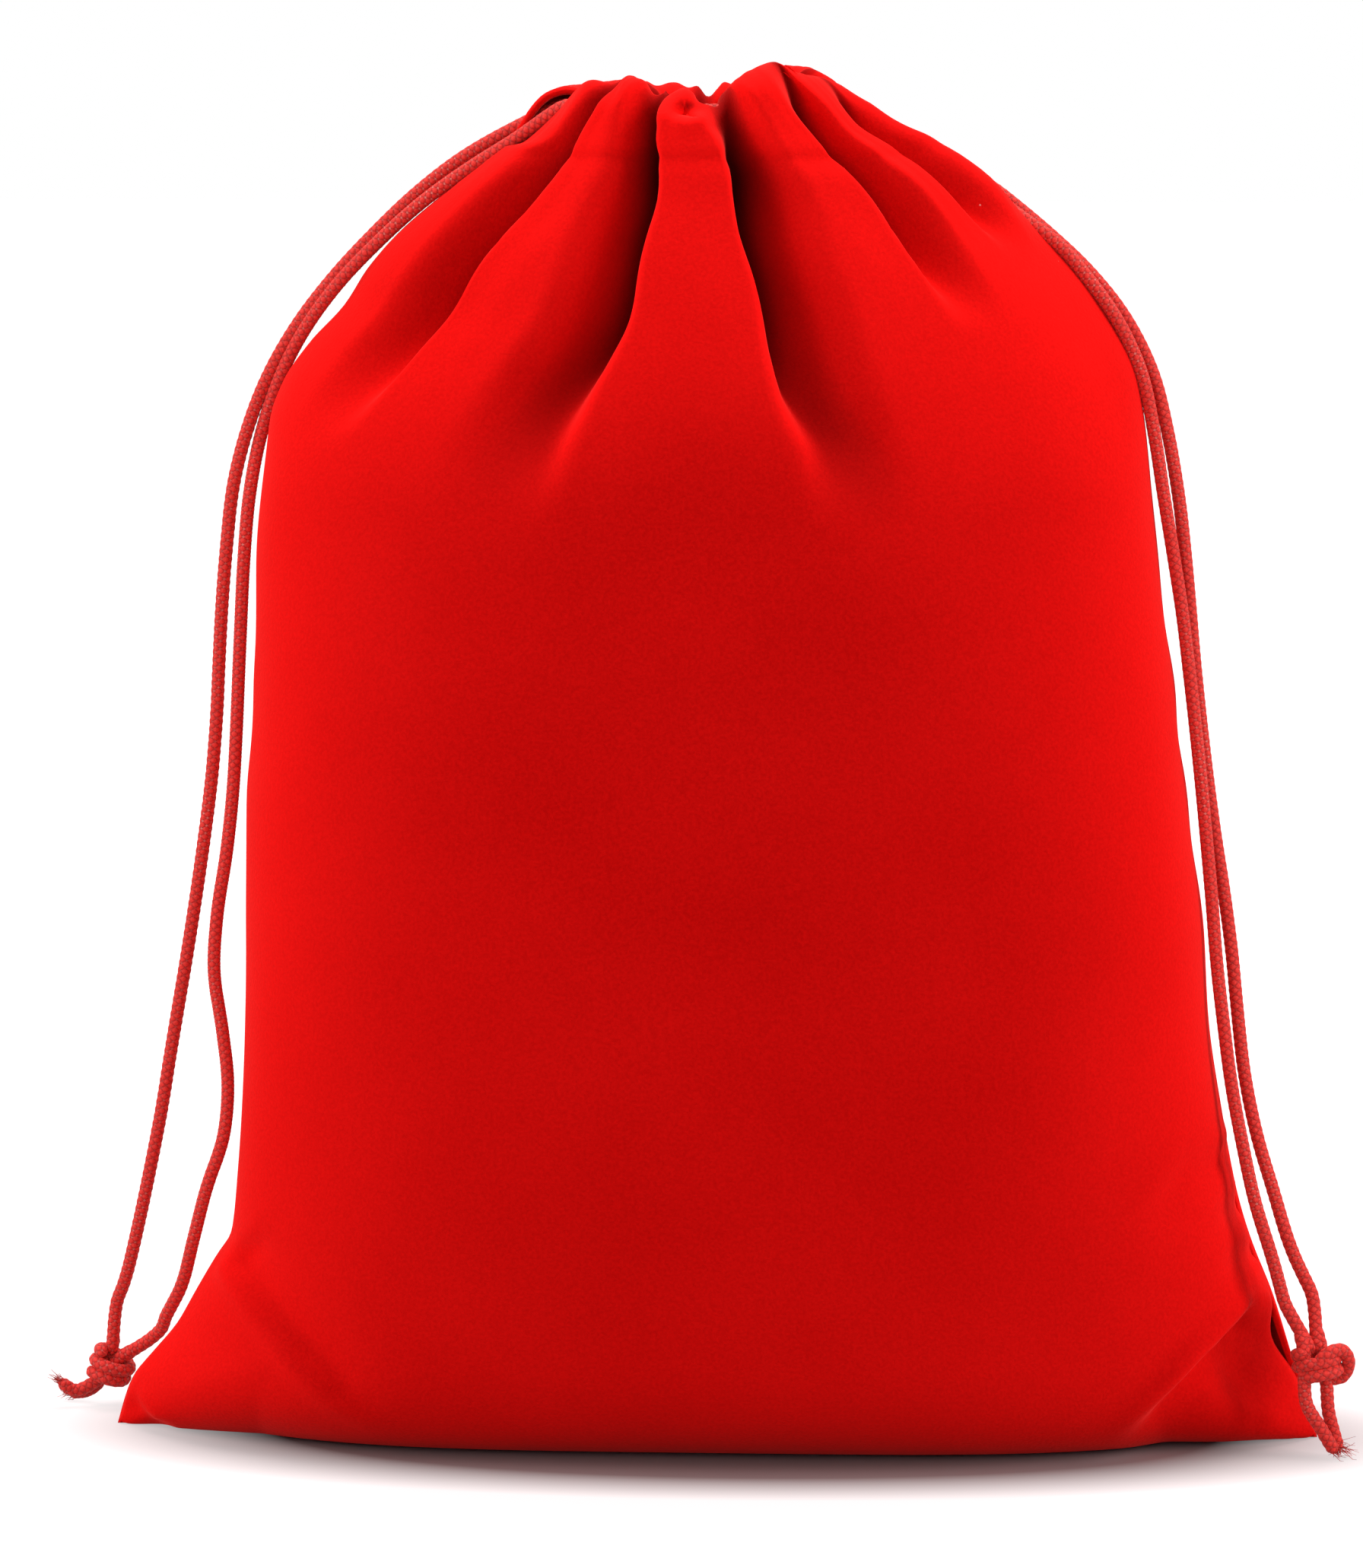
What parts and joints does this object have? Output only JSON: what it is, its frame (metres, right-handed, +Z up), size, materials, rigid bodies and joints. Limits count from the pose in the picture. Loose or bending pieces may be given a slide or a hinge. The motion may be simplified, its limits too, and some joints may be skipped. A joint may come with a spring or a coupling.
{
  "type": "drawstring pouch",
  "caption": "Velvet drawstring pouch, filled out and drawn shut, with a gathered mouth casing and knotted cords hanging at both sides.",
  "frame": {"origin": "on the surface that the pouch stands on, under the middle of the pouch body", "axes": "+Z up, +X to the pouch's right as seen from the front, front towards -Y"},
  "size_m": [0.2689, 0.1118, 0.277],
  "materials": {
    "red velvet": "short matt pile with a soft sheen",
    "red braided cord": "round braid, slightly glossy"
  },
  "bodies": {
    "root": {"pouch_body": "red velvet", "left_drawcord": "red braided cord", "right_drawcord": "red braided cord", "left_cord_knot": "red braided cord", "right_cord_knot": "red braided cord"}
  },
  "joints": []
}
